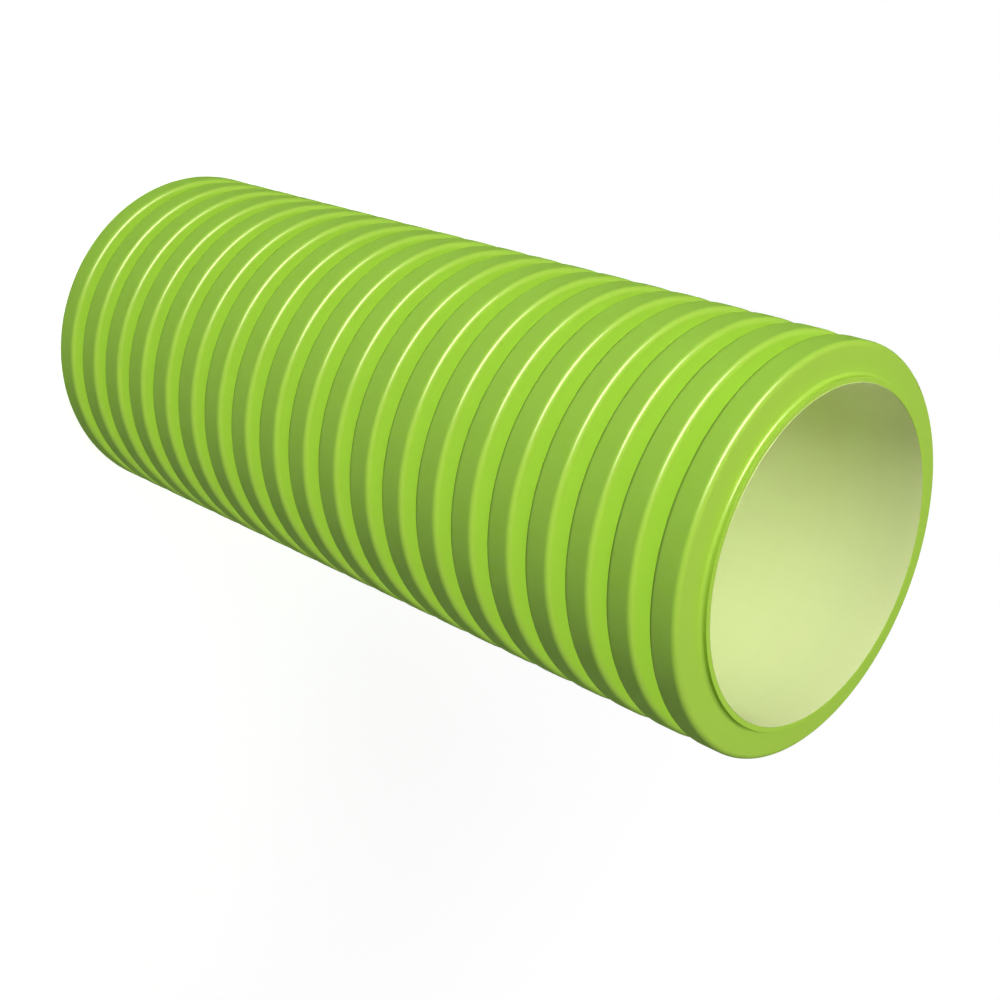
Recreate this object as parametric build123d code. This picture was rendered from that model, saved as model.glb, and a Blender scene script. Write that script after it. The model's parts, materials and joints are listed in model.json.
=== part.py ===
from build123d import *

import os
from math import cos, radians, tan

# Round double-wall air duct, a short length standing on one cut end.
#
# The duct is made of two layers. The corrugated wall outside carries hollow ring ribs, each with a flat
# crest, rounded shoulders and slightly drafted flanks. The smooth liner inside is fused to it under
# every valley, so each rib encloses a ring of still air. Both ends are cut square through a valley,
# which leaves a short plain stub outside the first and the last rib.
#
# The axis is +Z, and the origin is the centre of the lower cut end. Sizes are in millimetres.

# Corrugated wall
outer_diameter = 75.0  # over the crests
rib_height = 5.8  # from the valley floor to the crest
rib_pitch = 9.2  # from one rib to the next
rib_count = 20
crest_width = 5.7  # along the axis, from flank to flank at the height of the crest
flank_draft = 4.0  # degrees that a flank leans from square to the axis
shoulder_radius = 1.1  # outside rounding between a crest and its flanks
root_radius = 0.7  # inside rounding between a flank and the valley floor
valley_wall = 0.9  # thickness under a valley, where the wall sits on the liner
rib_wall = 0.6  # thickness over a crest and down its flanks
end_stub = 1.2  # plain valley left between a cut end and the foot of the nearest flank

# Smooth liner
liner_thickness = 0.35
liner_setback = 0.25  # how far each end of the liner lies back from the cut end of the wall

# What follows from the sizes above: radii from the axis and heights along it
crest_radius = outer_diameter / 2
valley_radius = crest_radius - rib_height
seat_radius = valley_radius - valley_wall
bore_radius = seat_radius - liner_thickness
draft_slope = tan(radians(flank_draft))
foot_width = crest_width + 2 * rib_height * draft_slope
duct_length = (rib_count - 1) * rib_pitch + foot_width + 2 * end_stub


def tube_section(inner_radius, thickness, low, high):
    """Half-section of a plain tube between two heights, with radius across and height up."""
    return Pos(inner_radius, low) * Rectangle(thickness, high - low, align=(Align.MIN, Align.MIN))


def rib_row(crest_half_width, top_radius, foot_radius):
    """Half-sections of all the ribs: equal trapezia with drafted flanks, one pitch apart."""
    foot_half_width = crest_half_width + (top_radius - foot_radius) * draft_slope
    rib = Polygon(
        (foot_radius, -foot_half_width),
        (top_radius, -crest_half_width),
        (top_radius, crest_half_width),
        (foot_radius, foot_half_width),
        align=None,
    )
    lowest_rib = end_stub + foot_width / 2
    return [Pos(0, lowest_rib + number * rib_pitch) * rib for number in range(rib_count)]


def corners_at(section, radius):
    """The section's corners at a radius, without those on the two cut ends."""
    slack = 0.001
    inside_ends = section.vertices().filter_by_position(Axis.Y, slack, duct_length - slack)
    return inside_ends.filter_by_position(Axis.X, radius - slack, radius + slack)


def turned(section):
    """The solid that a half-section makes when it is turned about the duct's axis."""
    return revolve(Plane.XZ * section, axis=Axis.Z)


def corrugated_wall():
    """The wall outside: ribs with rounded shoulders and roots, hollow from the liner up."""
    section = tube_section(seat_radius, valley_wall, 0, duct_length)
    section += rib_row(crest_width / 2, crest_radius, valley_radius)
    section = fillet(corners_at(section, crest_radius), shoulder_radius)
    section = fillet(corners_at(section, valley_radius), root_radius)

    hollow_half_width = crest_width / 2 - rib_wall / cos(radians(flank_draft)) + rib_wall * draft_slope
    hollows = rib_row(hollow_half_width, crest_radius - rib_wall, seat_radius)
    return turned(section - hollows)


def smooth_liner():
    """The liner inside: a thin plain tube that every valley of the wall sits on."""
    return turned(tube_section(bore_radius, liner_thickness, liner_setback, duct_length - liner_setback))


os.makedirs("parts", exist_ok=True)
export_step(corrugated_wall(), "parts/corrugated_wall.step")
export_step(smooth_liner(), "parts/smooth_liner.step")
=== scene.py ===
import json
from math import cos, pi, radians, sin

import bpy
import numpy as np
from mathutils import Matrix, Vector


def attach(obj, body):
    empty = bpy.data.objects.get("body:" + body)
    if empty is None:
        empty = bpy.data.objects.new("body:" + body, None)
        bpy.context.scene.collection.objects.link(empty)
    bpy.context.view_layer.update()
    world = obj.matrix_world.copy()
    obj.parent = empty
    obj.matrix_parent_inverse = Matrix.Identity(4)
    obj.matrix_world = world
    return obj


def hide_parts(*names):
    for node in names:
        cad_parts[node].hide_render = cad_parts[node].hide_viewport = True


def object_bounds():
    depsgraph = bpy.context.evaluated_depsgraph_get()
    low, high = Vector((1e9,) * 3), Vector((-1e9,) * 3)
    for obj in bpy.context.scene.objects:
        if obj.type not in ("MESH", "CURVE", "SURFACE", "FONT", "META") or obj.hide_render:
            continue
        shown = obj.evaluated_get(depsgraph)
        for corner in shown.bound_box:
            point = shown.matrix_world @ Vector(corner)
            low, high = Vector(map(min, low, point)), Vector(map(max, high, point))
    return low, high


bl_info = {
    "name": "Round Air Duct",
    "version": (1, 0, 0),
    "blender": (4, 5, 0),
    "location": "3D View > Sidebar > Air Duct",
    "description": "Short length of round double-wall air duct, with its finishes, stage and camera",
    "category": "Add Mesh",
}

# The duct stands on a cut end with its axis on +Z, and z is 0 at that end. Sizes are in metres.
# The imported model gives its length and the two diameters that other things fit.
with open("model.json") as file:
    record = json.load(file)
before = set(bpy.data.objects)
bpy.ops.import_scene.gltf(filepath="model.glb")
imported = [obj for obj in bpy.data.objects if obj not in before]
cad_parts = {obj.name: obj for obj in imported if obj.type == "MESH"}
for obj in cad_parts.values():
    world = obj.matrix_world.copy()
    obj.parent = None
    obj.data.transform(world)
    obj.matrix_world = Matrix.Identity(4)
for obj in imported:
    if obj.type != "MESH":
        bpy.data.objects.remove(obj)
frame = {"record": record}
CAD_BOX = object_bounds()
MOUNT_SIZES = {mount["name"]: mount["dims"] for mount in frame["record"]["mounts"]}
CREST_RADIUS = MOUNT_SIZES["rib_crests"]["r_mm"] / 1000
BORE_RADIUS = MOUNT_SIZES["liner_bore"]["r_mm"] / 1000
DUCT_LENGTH = CAD_BOX[1].z - CAD_BOX[0].z

# How finely the surfaces are divided: faces round the duct, and levels down its bore
FACES_ROUND = 160
BORE_LEVELS = 41


# Sizes and colours that can be changed


class CorrugatedWallSettings(bpy.types.PropertyGroup):
    """Sizes and greens of the corrugated wall"""

    rib_count: bpy.props.IntProperty(
        name="Ribs",
        description="How many ring ribs the wall has",
        default=20,
        min=1,
    )
    rib_pitch: bpy.props.FloatProperty(
        name="Rib pitch",
        description="From one rib to the next",
        default=0.0092,
        unit="LENGTH",
        precision=5,
    )
    rib_height: bpy.props.FloatProperty(
        name="Rib height",
        description="From the valley floor to the crest",
        default=0.0058,
        unit="LENGTH",
        precision=5,
    )
    crest_width: bpy.props.FloatProperty(
        name="Crest width",
        description="Along the axis, from flank to flank at the height of the crest",
        default=0.0057,
        unit="LENGTH",
        precision=5,
    )
    flank_draft: bpy.props.FloatProperty(
        name="Flank draft",
        description="How far a flank leans from square to the axis",
        default=radians(4.0),
        subtype="ANGLE",
    )
    shoulder_radius: bpy.props.FloatProperty(
        name="Shoulder radius",
        description="Rounding between a crest and its flanks",
        default=0.0011,
        unit="LENGTH",
        precision=5,
    )
    root_radius: bpy.props.FloatProperty(
        name="Root radius",
        description="Rounding between a flank and the valley floor",
        default=0.0007,
        unit="LENGTH",
        precision=5,
    )
    valley_wall: bpy.props.FloatProperty(
        name="Valley wall",
        description="Thickness under a valley, where the wall sits on the liner",
        default=0.0009,
        unit="LENGTH",
        precision=5,
    )
    rib_wall: bpy.props.FloatProperty(
        name="Rib wall",
        description="Thickness over a crest and down its flanks",
        default=0.0006,
        unit="LENGTH",
        precision=5,
    )
    cut_rounding: bpy.props.FloatProperty(
        name="Cut rounding",
        description="Wear on the edges of the two cut ends",
        default=0.00003,
        unit="LENGTH",
        precision=5,
    )
    colour: bpy.props.FloatVectorProperty(
        name="Wall colour",
        description="Apple green of the wall",
        default=(0.382, 0.625, 0.056),
        subtype="COLOR",
        min=0,
        max=1,
    )
    # Painted shade: the crests get a cooler, deeper green than the flanks, for the shade they take
    crest_shade_colour: bpy.props.FloatVectorProperty(
        name="Crest colour",
        description="The wall's green on the crests, a little cooler and deeper",
        default=(0.315, 0.585, 0.045),
        subtype="COLOR",
        min=0,
        max=1,
    )


class SmoothLinerSettings(bpy.types.PropertyGroup):
    """Cut ends and colour of the smooth liner"""

    setback: bpy.props.FloatProperty(
        name="Setback",
        description="How far each end of the liner lies back from the cut end, where it meets the wall",
        default=0.00015,
        unit="LENGTH",
        precision=5,
    )
    lip: bpy.props.FloatProperty(
        name="Lip",
        description="Thickness that the reaming leaves at each end",
        default=0.00008,
        unit="LENGTH",
        precision=5,
    )
    reaming: bpy.props.FloatProperty(
        name="Reaming",
        description="Height over which a cut end of the bore is reamed open to a thin lip",
        default=0.003,
        unit="LENGTH",
        precision=5,
    )
    colour: bpy.props.FloatVectorProperty(
        name="Liner colour",
        description="Pale green of the liner",
        default=(0.74, 0.82, 0.43),
        subtype="COLOR",
        min=0,
        max=1,
    )


class StageSettings(bpy.types.PropertyGroup):
    """Camera, strength of the lamps and width of the floor"""

    camera_place: bpy.props.FloatVectorProperty(
        name="Camera place",
        description="Where the camera stands",
        default=(0.01098, -0.24988, 0.32571),
        subtype="XYZ",
        unit="LENGTH",
    )
    camera_lift: bpy.props.FloatProperty(
        name="Camera lift",
        description="Angle between the line of sight and straight down",
        default=radians(49.379),
        subtype="ANGLE",
    )
    camera_roll: bpy.props.FloatProperty(
        name="Camera roll",
        description="Turn of the camera about its line of sight, so that the standing duct seems to lie",
        default=radians(111.479),
        subtype="ANGLE",
    )
    camera_lens: bpy.props.FloatProperty(
        name="Camera lens",
        description="Focal length on a sensor 36 mm wide",
        default=59.555,
        unit="CAMERA",
    )
    key_power: bpy.props.FloatProperty(
        name="Key lamp",
        description="Power of the lamp above the camera, as the picture stands, which casts the shadow",
        default=2.4,
        unit="POWER",
    )
    front_power: bpy.props.FloatProperty(
        name="Front fill",
        description="Power of the shadowless lamp in front, which reaches into the grooves",
        default=7.6,
        unit="POWER",
    )
    mouth_power: bpy.props.FloatProperty(
        name="Mouth fill",
        description="Power of the shadowless lamp over the mouth",
        default=5.0,
        unit="POWER",
    )
    side_power: bpy.props.FloatProperty(
        name="Side lamp",
        description="Power of the lamp on the shaded side",
        default=1.7,
        unit="POWER",
    )
    back_power: bpy.props.FloatProperty(
        name="Back lamp",
        description="Power of the lamp behind the duct",
        default=6.0,
        unit="POWER",
    )
    gleam_power: bpy.props.FloatProperty(
        name="Gleam",
        description="Power of the panel that only shows in the gloss",
        default=56.0,
        unit="POWER",
    )
    room_light: bpy.props.FloatProperty(
        name="Room light",
        description="Strength of the even light from all round",
        default=0.04,
        min=0,
    )
    floor_radius: bpy.props.FloatProperty(
        name="Floor radius",
        description="Half the width of the floor",
        default=3.0,
        unit="LENGTH",
    )


# Surfaces of revolution


def smooth_run(points, normals):
    """A stretch of profile that curves without corners: each edge takes its two ends' own normals."""
    return points[:-1], normals[:-1], normals[1:]


def straight_run(points):
    """A stretch of profile made of flat edges that meet in corners.

    Both ends of an edge share its normal. With the material on the left of the way that the profile runs,
    the normal of an edge (dr, dz) is (dz, -dr) divided by its length.
    """
    step = np.diff(points, axis=0)
    normal = np.stack([step[:, 1], -step[:, 0]], axis=1) / np.linalg.norm(step, axis=1)[:, None]
    return points[:-1], normal, normal


def arc(centre, radius, start, end, steps):
    """Points on a circle from one angle to another, and the outward directions there.

    An angle t gives the direction (cos t, sin t) in radius and height, and the point is the centre plus the
    radius times that direction. A negative radius makes a hollow arc, whose surface faces its centre.
    """
    angle = np.linspace(start, end, steps + 1)
    outward = np.stack([np.cos(angle), np.sin(angle)], axis=1)
    return np.asarray(centre) + radius * outward, outward


def repeated_up(profile, heights):
    """Copies of a stretch of profile joined end to end, one raised by each height."""
    raised = np.stack([np.zeros(len(heights)), heights], axis=1)
    return (profile[None] + raised[:, None]).reshape(-1, 2)


def turned_mesh(name, runs, segments):
    """The closed surface that a closed profile makes when it is turned about the Z axis.

    A profile point (r, z) and a turn t give the point (r cos t, r sin t, z), and a profile normal (a, b)
    gives the normal (a cos t, a sin t, b). Both directions close on themselves, so there is no seam.
    """
    profile, starts, ends = (np.concatenate(part) for part in zip(*runs))
    turn = np.linspace(0, 2 * pi, segments, endpoint=False)
    around = np.stack([np.cos(turn), np.sin(turn)], axis=1)

    def turned(values, turns):
        """Every (across, along) pair of values at every turn, as (pairs, turns, 3)."""
        across = values[:, None, :1] * around[turns]
        along = np.broadcast_to(values[:, None, 1:], across.shape[:2] + (1,))
        return np.concatenate([across, along], axis=2)

    here = np.arange(segments)
    following = (here + 1) % segments
    low = np.arange(len(profile))[:, None] * segments
    high = (np.arange(1, len(profile) + 1) % len(profile))[:, None] * segments
    faces = np.stack([low + here, low + following, high + following, high + here], axis=2)
    low_normals = [turned(starts, here), turned(starts, following)]
    high_normals = [turned(ends, following), turned(ends, here)]
    corner_normals = np.stack(low_normals + high_normals, axis=2)

    mesh = bpy.data.meshes.new(name)
    face_count = len(profile) * segments
    mesh.vertices.add(face_count)
    mesh.vertices.foreach_set("co", turned(profile, here).ravel())
    mesh.loops.add(faces.size)
    mesh.loops.foreach_set("vertex_index", faces.ravel())
    mesh.polygons.add(face_count)
    mesh.polygons.foreach_set("loop_start", np.arange(face_count) * faces.shape[2])
    mesh.polygons.foreach_set("use_smooth", np.ones(face_count, dtype=bool))
    mesh.update(calc_edges=True)
    mesh.validate()
    mesh.normals_split_custom_set(corner_normals.reshape(-1, 3))
    return mesh


def rib_middles(size):
    """Heights of the middles of the ribs, from the lowest up: one pitch apart, centred on the duct."""
    return DUCT_LENGTH / 2 + (np.arange(size.rib_count) - (size.rib_count - 1) / 2) * size.rib_pitch


def rib_profile(size):
    """One rib from valley to valley, with the rib's own middle at height 0.

    Four arcs joined by straight stretches. A flank starts at the foot (valley radius, -foot) and leans by
    the draft. A root arc lies outside it, a root radius from both valley and flank. A shoulder arc lies
    inside it, a shoulder radius from both flank and crest. The upper half is the lower one mirrored.
    """
    valley = CREST_RADIUS - size.rib_height
    draft = size.flank_draft
    foot = size.crest_width / 2 + size.rib_height * np.tan(draft)
    flank_turn = pi / 2 - draft

    root_up = size.root_radius * (1 - sin(draft)) / cos(draft)
    root_centre = (valley + size.root_radius, -foot + root_up * sin(draft) - size.root_radius * cos(draft))
    shoulder_up = (size.rib_height - size.shoulder_radius * (1 - sin(draft))) / cos(draft)
    shoulder_centre = (
        CREST_RADIUS - size.shoulder_radius,
        -foot + shoulder_up * sin(draft) + size.shoulder_radius * cos(draft),
    )
    root, root_out = arc(root_centre, -size.root_radius, 0, -flank_turn, steps=4)
    shoulder, shoulder_out = arc(shoulder_centre, size.shoulder_radius, -flank_turn, 0, steps=6)
    points = np.concatenate([root, shoulder])
    normals = np.concatenate([root_out, shoulder_out])
    upside_down = np.array([1, -1])
    return (
        np.concatenate([points, points[::-1] * upside_down]),
        np.concatenate([normals, normals[::-1] * upside_down]),
    )


def corrugated_wall_runs(size):
    """The closed profile of the wall: up over the ribs, across the upper end, and back down inside.

    The rib's profile repeats at one pitch. The inside is the seat on the liner, open at each rib into the
    hollow that follows the rib's outline one wall thickness in.
    """
    valley = CREST_RADIUS - size.rib_height
    seat = valley - size.valley_wall
    middles = rib_middles(size)

    rib, rib_normals = rib_profile(size)
    outside = repeated_up(rib, middles)
    outside_normals = np.tile(rib_normals, (size.rib_count, 1))

    worn = size.cut_rounding
    foot = arc((valley - worn, worn), worn, -pi / 2, 0, steps=2)
    outer = arc((valley - worn, DUCT_LENGTH - worn), worn, 0, pi / 2, steps=2)
    inner = arc((seat + worn, DUCT_LENGTH - worn), worn, pi / 2, pi, steps=2)
    heel = arc((seat + worn, worn), worn, pi, 3 * pi / 2, steps=2)
    over_the_ribs = (np.concatenate(part) for part in zip(foot, (outside, outside_normals), outer, inner))
    round_the_heel = (np.concatenate([turning, first[:1]]) for turning, first in zip(heel, foot))

    slope = np.tan(size.flank_draft)
    roof = CREST_RADIUS - size.rib_wall
    roof_half = size.crest_width / 2 - size.rib_wall / cos(size.flank_draft) + size.rib_wall * slope
    seat_half = roof_half + (roof - seat) * slope
    hollow = np.array([(seat, seat_half), (roof, roof_half), (roof, -roof_half), (seat, -seat_half)])
    hollows = repeated_up(hollow, middles[::-1])
    return [
        smooth_run(*over_the_ribs),
        straight_run(np.concatenate([inner[0][-1:], hollows, heel[0][:1]])),
        smooth_run(*round_the_heel),
    ]


def smooth_liner_runs(wall, liner):
    """The closed profile of the liner: thin from the bore to the wall's seat, and reamed open at both ends.

    The bore goes down in short steps of height. At each end it widens along a cone to a lip, which the cut
    has turned up until it is level with the wall, and the end slopes from there down to the seat.
    """
    seat = CREST_RADIUS - wall.rib_height - wall.valley_wall
    lip = seat - liner.lip
    low, high = liner.setback, DUCT_LENGTH - liner.setback
    levels = np.linspace(liner.reaming, DUCT_LENGTH - liner.reaming, BORE_LEVELS)[::-1]
    unreamed = np.stack([np.full(BORE_LEVELS, BORE_RADIUS), levels], axis=1)
    bore = np.concatenate([[(lip, DUCT_LENGTH)], unreamed, [(lip, 0)]])
    lean = np.arctan2(lip - BORE_RADIUS, liner.reaming)
    inward = np.tile([-1.0, 0.0], (len(bore), 1))
    inward[0], inward[-1] = (-cos(lean), sin(lean)), (-cos(lean), -sin(lean))
    return [
        straight_run(np.array([(seat, low), (seat, high), (lip, DUCT_LENGTH)])),
        smooth_run(bore, inward),
        straight_run(np.array([(lip, 0), (seat, low)])),
    ]


# Finishes


class Wire:
    """A value that a node gives, which can be calculated with: arithmetic on it adds Math nodes."""

    def __init__(self, finish, socket):
        self.finish = finish
        self.socket = socket

    def other(self, output):
        """Another output of the same node."""
        return Wire(self.finish, self.socket.node.outputs[output])

    def _math(self, operation, first, second):
        return self.finish.add("ShaderNodeMath", {0: first, 1: second}, operation=operation)

    def __add__(self, number):
        return self._math("ADD", self, number)

    __radd__ = __add__

    def __sub__(self, number):
        return self._math("SUBTRACT", self, number)

    def __rsub__(self, number):
        return self._math("SUBTRACT", number, self)

    def __mul__(self, number):
        return self._math("MULTIPLY", self, number)

    __rmul__ = __mul__

    def __pow__(self, number):
        return self._math("POWER", self, number)

    def larger(self, number):
        """The larger of this value and another."""
        return self._math("MAXIMUM", self, number)

    def repeat(self, length):
        """Starts again from 0 after each length."""
        return self.finish.add("ShaderNodeMath", {0: self, 1: length, 2: 0.0}, operation="WRAP")

    def fold(self, length):
        """Runs up and down between 0 and a length, so it measures the way to the nearest repeat."""
        return self._math("PINGPONG", self, length)

    def ramp(self, start, end, low=0.0, high=1.0):
        """Goes smoothly from low to high while the value goes from start to end."""
        return self.finish.add(
            "ShaderNodeMapRange",
            {"Value": self, "From Min": start, "From Max": end, "To Min": low, "To Max": high},
            interpolation_type="SMOOTHSTEP",
        )

    def fade(self, start, end):
        """Goes smoothly from 1 to 0 while the value goes from start to end."""
        return self.ramp(start, end, low=1.0, high=0.0)


class Finish:
    """The nodes of a material or world, and the one way to put nodes there."""

    def __init__(self, owner):
        self.owner = owner
        owner.use_nodes = True
        self.tree = owner.node_tree
        self.tree.nodes.clear()

    def add(self, kind, inputs=None, output=0, **settings):
        """Adds a node, sets its settings and then its sockets' values or links, and gives one output."""
        node = self.tree.nodes.new(kind)
        for name, value in settings.items():
            setattr(node, name, value)
        for key, value in (inputs or {}).items():
            if isinstance(value, Wire):
                self.tree.links.new(value.socket, node.inputs[key])
            else:
                node.inputs[key].default_value = value
        return Wire(self, node.outputs[output]) if node.outputs else None

    def noise(self, place, size, detail=2.0):
        """Soft random values about 0.5, with patches about as wide as a size in metres."""
        return self.add("ShaderNodeTexNoise", {"Vector": place, "Scale": 1 / size, "Detail": detail})

    def mixed(self, share, first, second):
        """A colour between two, by share."""
        return self.add("ShaderNodeMix", {0: share, 6: first, 7: second}, output=2, data_type="RGBA")

    def mottled(self, pattern, colour, swing):
        """A colour that a pattern from 0 to 1 takes a swing darker and a swing lighter."""
        return self.mixed(pattern, shaded(colour, 1 - swing), shaded(colour, 1 + swing))

    def plastic(self, colour, **surface):
        """A Principled surface of a colour."""
        return self.add("ShaderNodeBsdfPrincipled", {"Base Color": colour, **surface})

    def blended(self, share, first, second):
        """A surface between two, by share."""
        return self.add("ShaderNodeMixShader", {0: share, 1: first, 2: second})

    def ends_in(self, surface, output="ShaderNodeOutputMaterial"):
        """Puts a surface on the material or world, and gives that back."""
        self.add(output, {"Surface": surface})
        return self.owner


def shaded(colour, share):
    """A colour multiplied by a share, ready for a colour socket."""
    return (*(min(channel * share, 1.0) for channel in colour), 1.0)


def grey(level):
    """A colour without hue, ready for a colour socket."""
    return (level, level, level, 1.0)


def wall_pigment_and_shade(finish, size, mottle, on_crest, radius, height):
    """The wall's mottled green, with painted shade: cooler and deeper on the crests, and deeper in two
    places.

    One is painted shade in the valleys between ribs, but not the plain ends. The other is a thin line of
    painted shade on the lower shoulder of each rib, just under the crest, for the dark line where one rib
    hides the next.
    """
    swing = 0.04
    # Painted shade: a cooler, deeper green on the crests
    pigment_and_shade = finish.mixed(
        on_crest,
        finish.mottled(mottle, size.colour, swing),
        finish.mottled(mottle, size.crest_shade_colour, swing),
    )

    blur = 0.0005
    lowest_rib = float(rib_middles(size)[0])
    highest_rib = DUCT_LENGTH - lowest_rib
    between_ribs = height.ramp(lowest_rib - blur, lowest_rib) * height.fade(highest_rib, highest_rib + blur)
    # Painted shade: the green is darkened in the valleys between ribs, where shade falls
    valley = CREST_RADIUS - size.rib_height
    full_up_to, gone_from = 0.0002, 0.001
    valley_shade = radius.fade(valley + full_up_to, valley + gone_from) * between_ribs
    valley_shade_tone = 0.8
    pigment_and_shade = finish.mixed(valley_shade, pigment_and_shade, shaded(size.colour, valley_shade_tone))

    # Painted shade: a thin dark line on each rib's lower shoulder, for the shaded edge where one rib hides
    # the next
    half_pitch = size.rib_pitch / 2
    up_the_rib = (height - lowest_rib + half_pitch).repeat(size.rib_pitch)
    lower_side = up_the_rib.fade(half_pitch - blur, half_pitch + blur)
    # Depths below the crest at which the painted shade line starts, is full, begins to fade and ends, from
    # the flank up
    starts, full, fades, ends = 0.0007, 0.0005, 0.00008, 0.00002
    off_crest = radius.fade(CREST_RADIUS - fades, CREST_RADIUS - ends)
    above_flank = radius.ramp(CREST_RADIUS - starts, CREST_RADIUS - full)
    edge_shade_tone = 0.7
    return finish.mixed(off_crest * above_flank * lower_side, pigment_and_shade, shaded(size.crest_shade_colour, edge_shade_tone))


def on_cut_faces(height):
    """1 on the two cut faces, and 0 from a short way along the duct."""
    full_up_to, gone_from = 0.0001, 0.0002
    lower_face = height.fade(full_up_to, gone_from)
    upper_face = height.ramp(DUCT_LENGTH - gone_from, DUCT_LENGTH - full_up_to)
    return lower_face.larger(upper_face)


def satin_wall_finish(size):
    """Moulded polyethylene: clouded pigment, a fine skin, crests dulled by handling and rough cut faces.

    A matt body lies under a thin neutral gloss, which is as strong at the rim as face on. Scuffs take some
    of the gloss away.
    """
    finish = Finish(bpy.data.materials.new("satin_green_wall"))
    place = finish.add("ShaderNodeTexCoord", output="Object")
    across = finish.add("ShaderNodeSeparateXYZ", {"Vector": place}, output="X")
    sideways, height = across.other("Y"), across.other("Z")
    radius = (across * across + sideways * sideways) ** 0.5

    clouding = finish.noise(place, size=0.016)
    speckle = finish.noise(place, size=0.0007, detail=1.0)
    mottle = clouding * 0.7 + speckle * 0.3
    shoulder_top = 0.0003
    on_crest = radius.ramp(CREST_RADIUS - shoulder_top, CREST_RADIUS)
    # The base colour: mottled green with painted shade on the crests, in the valleys and on the lower
    # shoulders
    pigment_and_shade = wall_pigment_and_shade(finish, size, mottle, on_crest, radius, height)

    scuffed_from, scuffed_through = 0.52, 0.68
    scuffs = finish.noise(place, size=0.003, detail=4.0).ramp(scuffed_from, scuffed_through) * on_crest
    cut_face = on_cut_faces(height)
    skin = finish.noise(place, size=0.0012, detail=3.0)
    grain = finish.noise(place, size=0.0003, detail=1.0)
    clean = 0.27
    roughness = clean + clouding * 0.06 + scuffs * 0.08 + cut_face * 0.25
    relief = skin * 0.7 + grain * (0.3 + cut_face * 0.8)
    normal = finish.add("ShaderNodeBump", {"Height": relief, "Strength": 0.35, "Distance": 0.00004})

    surface = {"Roughness": roughness, "Normal": normal}
    body = finish.plastic(pigment_and_shade, **surface, **{"Specular IOR Level": 0.0})
    gloss = finish.plastic(grey(0.95), **surface, Metallic=1.0)
    gloss_share, scuffed_away = 0.03, 0.006
    return finish.ends_in(finish.blended(gloss_share - scuffs * scuffed_away, body, gloss))


def satin_liner_finish(wall, liner):
    """Extruded polyethylene: draw lines along the axis, and a faint tint where the valleys are fused on."""
    finish = Finish(bpy.data.materials.new("satin_pale_liner"))
    place = finish.add("ShaderNodeTexCoord", output="Object")
    height = finish.add("ShaderNodeSeparateXYZ", {"Vector": place}, output="Z")

    times_longer = 50
    drawn = finish.add("ShaderNodeMapping", {"Vector": place, "Scale": (1.0, 1.0, 1 / times_longer)})
    draw_lines = finish.noise(drawn, size=0.0016, detail=3.0)
    clouding = finish.noise(place, size=0.02)
    lowest_rib = float(rib_middles(wall)[0])
    from_rib = (height - lowest_rib).fold(wall.rib_pitch / 2)
    fused = from_rib.ramp(wall.crest_width / 2, wall.rib_pitch / 2)
    tint = finish.mottled(draw_lines * 0.5 + clouding * 0.5, liner.colour, swing=0.025)
    wall_shows = 0.02
    tint = finish.mixed(fused * wall_shows, tint, shaded(wall.colour, 1.0))

    clean = 0.30
    roughness = clean + draw_lines * 0.06 + clouding * 0.04
    relief = draw_lines * 0.8 + fused * 0.4
    normal = finish.add("ShaderNodeBump", {"Height": relief, "Strength": 0.3, "Distance": 0.00003})
    return finish.ends_in(finish.plastic(tint, Roughness=roughness, Normal=normal))


def seen_directly(finish):
    """1 for what is seen straight, in a gloss or through something clear, and 0 for light that spreads."""
    ray = finish.add("ShaderNodeLightPath", output="Is Camera Ray")
    return ray.larger(ray.other("Is Glossy Ray")).larger(ray.other("Is Transmission Ray"))


def white_floor_finish():
    """Matt floor that the camera sees white.

    Near the duct the camera sees the lamps' light on it over a glow, so that the shadow shows, and farther
    off plain white.
    """
    finish = Finish(bpy.data.materials.new("white_floor"))
    place = finish.add("ShaderNodeTexCoord", output="Object")
    away = finish.add("ShaderNodeVectorMath", {0: place}, output="Value", operation="LENGTH")
    matt = finish.add("ShaderNodeBsdfDiffuse", {"Color": grey(0.5)})
    glow = finish.add("ShaderNodeEmission", {"Color": grey(0.36), "Strength": 1.0})
    lit = finish.add("ShaderNodeBsdfDiffuse", {"Color": grey(0.9)})
    shadowed = finish.add("ShaderNodeAddShader", {0: glow, 1: lit})
    white = finish.add("ShaderNodeEmission", {"Color": grey(1.0), "Strength": 1.0})
    shadow_reach, white_from = 0.12, 0.32
    shown = finish.blended(away.ramp(shadow_reach, white_from), shadowed, white)
    return finish.ends_in(finish.blended(seen_directly(finish), matt, shown))


def white_room(strength):
    """World that lights evenly at a low strength and is seen white."""
    finish = Finish(bpy.data.worlds.new("white_room"))
    even = finish.add("ShaderNodeBackground", {"Color": grey(1.0), "Strength": strength})
    white = finish.add("ShaderNodeBackground", {"Color": grey(1.0), "Strength": 1.0})
    surface = finish.blended(seen_directly(finish), even, white)
    return finish.ends_in(surface, output="ShaderNodeOutputWorld")


# Pieces and stage


def placed(name, data):
    """An object in the scene, in place of an earlier one of that name."""
    earlier = bpy.data.objects.get(name)
    if earlier:
        bpy.data.objects.remove(earlier)
    thing = bpy.data.objects.new(name, data)
    bpy.context.scene.collection.objects.link(thing)
    return thing


def finished_piece(name, mesh, material, node):
    """A piece that stands for a node of the model, moves with its body and takes its material slot."""
    mesh.materials.append(material)
    piece = placed(name, mesh)
    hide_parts(node)
    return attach(piece, "root")


class DUCT_OT_corrugated_wall(bpy.types.Operator):
    """Make the corrugated wall, a green tube with hollow ring ribs"""

    bl_idname = "air_duct.corrugated_wall"
    bl_label = "Corrugated Wall"

    def execute(self, context):
        size = context.scene.duct_wall
        mesh = turned_mesh("ribbed_wall", corrugated_wall_runs(size), FACES_ROUND)
        finished_piece("ribbed_wall", mesh, satin_wall_finish(size), "corrugated_wall")
        return {"FINISHED"}


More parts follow.
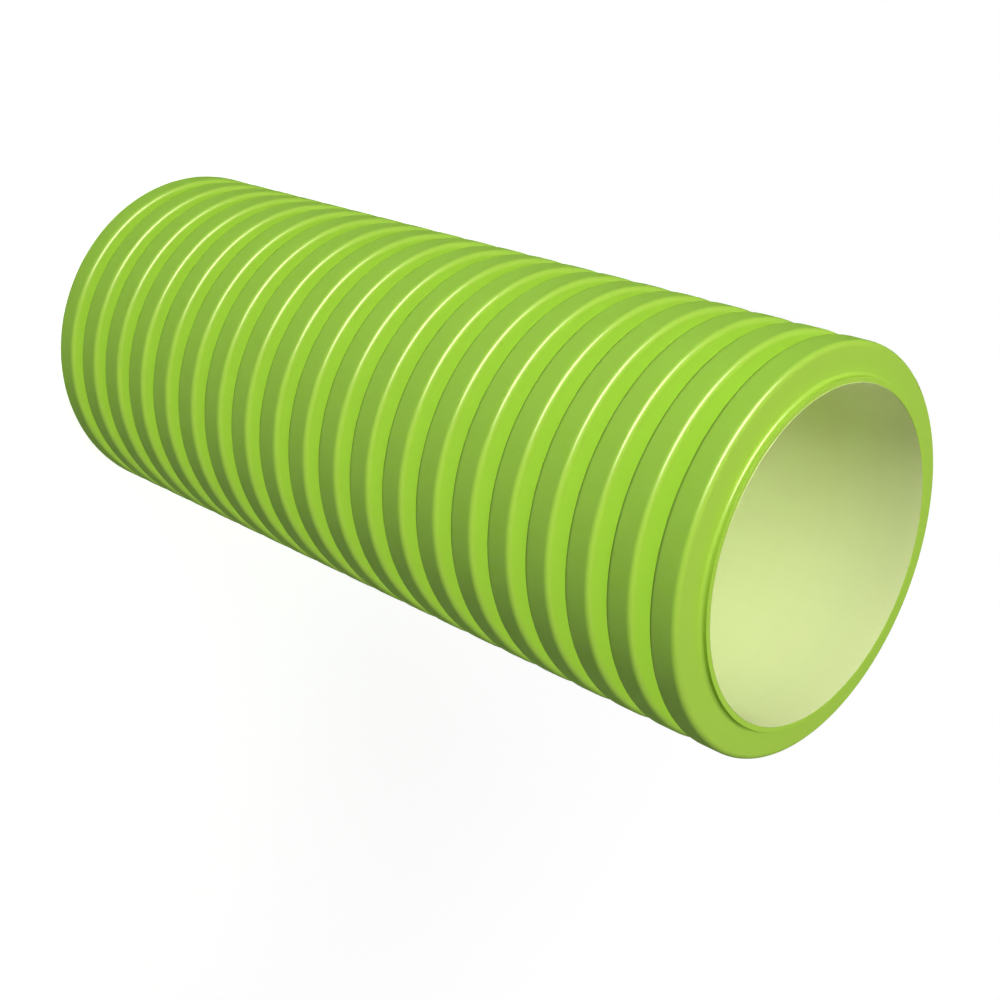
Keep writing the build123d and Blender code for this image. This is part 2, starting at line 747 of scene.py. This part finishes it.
class DUCT_OT_smooth_liner(bpy.types.Operator):
    """Make the smooth liner, a thin pale tube inside the wall"""

    bl_idname = "air_duct.smooth_liner"
    bl_label = "Smooth Liner"

    def execute(self, context):
        wall, liner = context.scene.duct_wall, context.scene.duct_liner
        mesh = turned_mesh("bore_liner", smooth_liner_runs(wall, liner), FACES_ROUND)
        finished_piece("bore_liner", mesh, satin_liner_finish(wall, liner), "smooth_liner")
        return {"FINISHED"}


# Each lamp's direction from the middle of the duct, its distance from there, its width, and its height
# where that differs. Only the key lamp and the gleam show in the gloss. The two fills, front and mouth, cast
# no shadow, so the sides of the ribs stay light down to the valleys. The gleam lights nothing: it is the
# bright panel that the rounded shoulders mirror.
LAMPS = {
    "key": {
        "direction": (-0.42, -0.64, 0.64),
        "distance": 1.3,
        "width": 0.7,
    },
    "front": {
        "direction": (-0.42, -0.64, 0.64),
        "distance": 1.2,
        "width": 0.2,
        "shadow": False,
        "shine": False,
    },
    "mouth": {
        "direction": (-0.2, -0.3, 0.93),
        "distance": 1.3,
        "width": 0.2,
        "shadow": False,
        "shine": False,
    },
    "side": {
        "direction": (0.9, 0.2, 0.36),
        "distance": 1.3,
        "width": 0.5,
        "shine": False,
    },
    "back": {
        "direction": (0.1, 1.0, 0.16),
        "distance": 1.4,
        "width": 0.4,
        "shine": False,
    },
    "gleam": {
        "direction": (-0.54, -0.61, 0.58),
        "distance": 1.2,
        "width": 1.4,
        "height": 0.55,
        "spread": False,
        "colour": (1.0, 0.85, 0.72),
    },
}


def white_floor(reach):
    """A flat square floor just under the duct, a reach to each side of its axis."""
    mesh = bpy.data.meshes.new("floor")
    corners = [(-reach, -reach, 0), (reach, -reach, 0), (reach, reach, 0), (-reach, reach, 0)]
    mesh.from_pydata(corners, [], [(0, 1, 2, 3)])
    mesh.materials.append(white_floor_finish())
    floor = placed("floor", mesh)
    clearance = 0.00005
    floor.location.z = CAD_BOX[0].z - clearance


def hung_lamp(name, lamp, power):
    """An elliptical area lamp that faces the middle of the duct."""
    light = bpy.data.lights.new(name, "AREA")
    light.shape = "ELLIPSE"
    light.size = lamp["width"]
    light.size_y = lamp.get("height", lamp["width"])
    light.energy = power
    light.use_shadow = lamp.get("shadow", True)
    light.color = lamp.get("colour", (1.0, 1.0, 1.0))
    hung = placed(name, light)
    hung.visible_diffuse = lamp.get("spread", True)
    hung.visible_glossy = lamp.get("shine", True)
    hung.visible_camera = False
    middle = (CAD_BOX[0] + CAD_BOX[1]) / 2
    away = Vector(lamp["direction"]).normalized()
    facing = away.to_track_quat("Z", "Y").to_matrix().to_4x4()
    hung.matrix_world = Matrix.Translation(middle + away * lamp["distance"]) @ facing


def aimed_camera(settings):
    """The camera at its place, lifted from straight down and turned about its line of sight."""
    lens = bpy.data.cameras.new("camera")
    lens.sensor_width = 36.0
    lens.lens = settings.camera_lens
    lens.clip_start = 0.01
    camera = placed("camera", lens)
    camera.matrix_world = (
        Matrix.Translation(settings.camera_place)
        @ Matrix.Rotation(settings.camera_lift, 4, "X")
        @ Matrix.Rotation(settings.camera_roll, 4, "Z")
    )
    return camera


class DUCT_OT_stage(bpy.types.Operator):
    """Make the floor, the lamps, the room light and the camera"""

    bl_idname = "air_duct.stage"
    bl_label = "Stage"

    def execute(self, context):
        settings, scene = context.scene.duct_stage, context.scene
        white_floor(settings.floor_radius)
        for name, lamp in LAMPS.items():
            hung_lamp(f"{name}_lamp", lamp, getattr(settings, f"{name}_power"))
        scene.world = white_room(settings.room_light)
        scene.view_settings.view_transform = "Standard"
        scene.camera = aimed_camera(settings)
        return {"FINISHED"}


class DUCT_PT_sidebar(bpy.types.Panel):
    """The duct's sizes, colours and stage, with a button for each"""

    bl_idname = "DUCT_PT_sidebar"
    bl_label = "Air Duct"
    bl_space_type = "VIEW_3D"
    bl_region_type = "UI"
    bl_category = "Air Duct"

    def draw(self, context):
        for settings, operator in (
            (context.scene.duct_wall, DUCT_OT_corrugated_wall),
            (context.scene.duct_liner, DUCT_OT_smooth_liner),
            (context.scene.duct_stage, DUCT_OT_stage),
        ):
            box = self.layout.box()
            for name in settings.__annotations__:
                box.prop(settings, name)
            box.operator(operator.bl_idname)


CLASSES = (
    CorrugatedWallSettings,
    SmoothLinerSettings,
    StageSettings,
    DUCT_OT_corrugated_wall,
    DUCT_OT_smooth_liner,
    DUCT_OT_stage,
    DUCT_PT_sidebar,
)


def register():
    for cls in CLASSES:
        bpy.utils.register_class(cls)
    bpy.types.Scene.duct_wall = bpy.props.PointerProperty(type=CorrugatedWallSettings)
    bpy.types.Scene.duct_liner = bpy.props.PointerProperty(type=SmoothLinerSettings)
    bpy.types.Scene.duct_stage = bpy.props.PointerProperty(type=StageSettings)


def unregister():
    del bpy.types.Scene.duct_stage, bpy.types.Scene.duct_liner, bpy.types.Scene.duct_wall
    for cls in reversed(CLASSES):
        bpy.utils.unregister_class(cls)


def main():
    register()
    bpy.ops.air_duct.corrugated_wall()
    bpy.ops.air_duct.smooth_liner()
    bpy.ops.air_duct.stage()


if __name__ == "__main__":
    main()
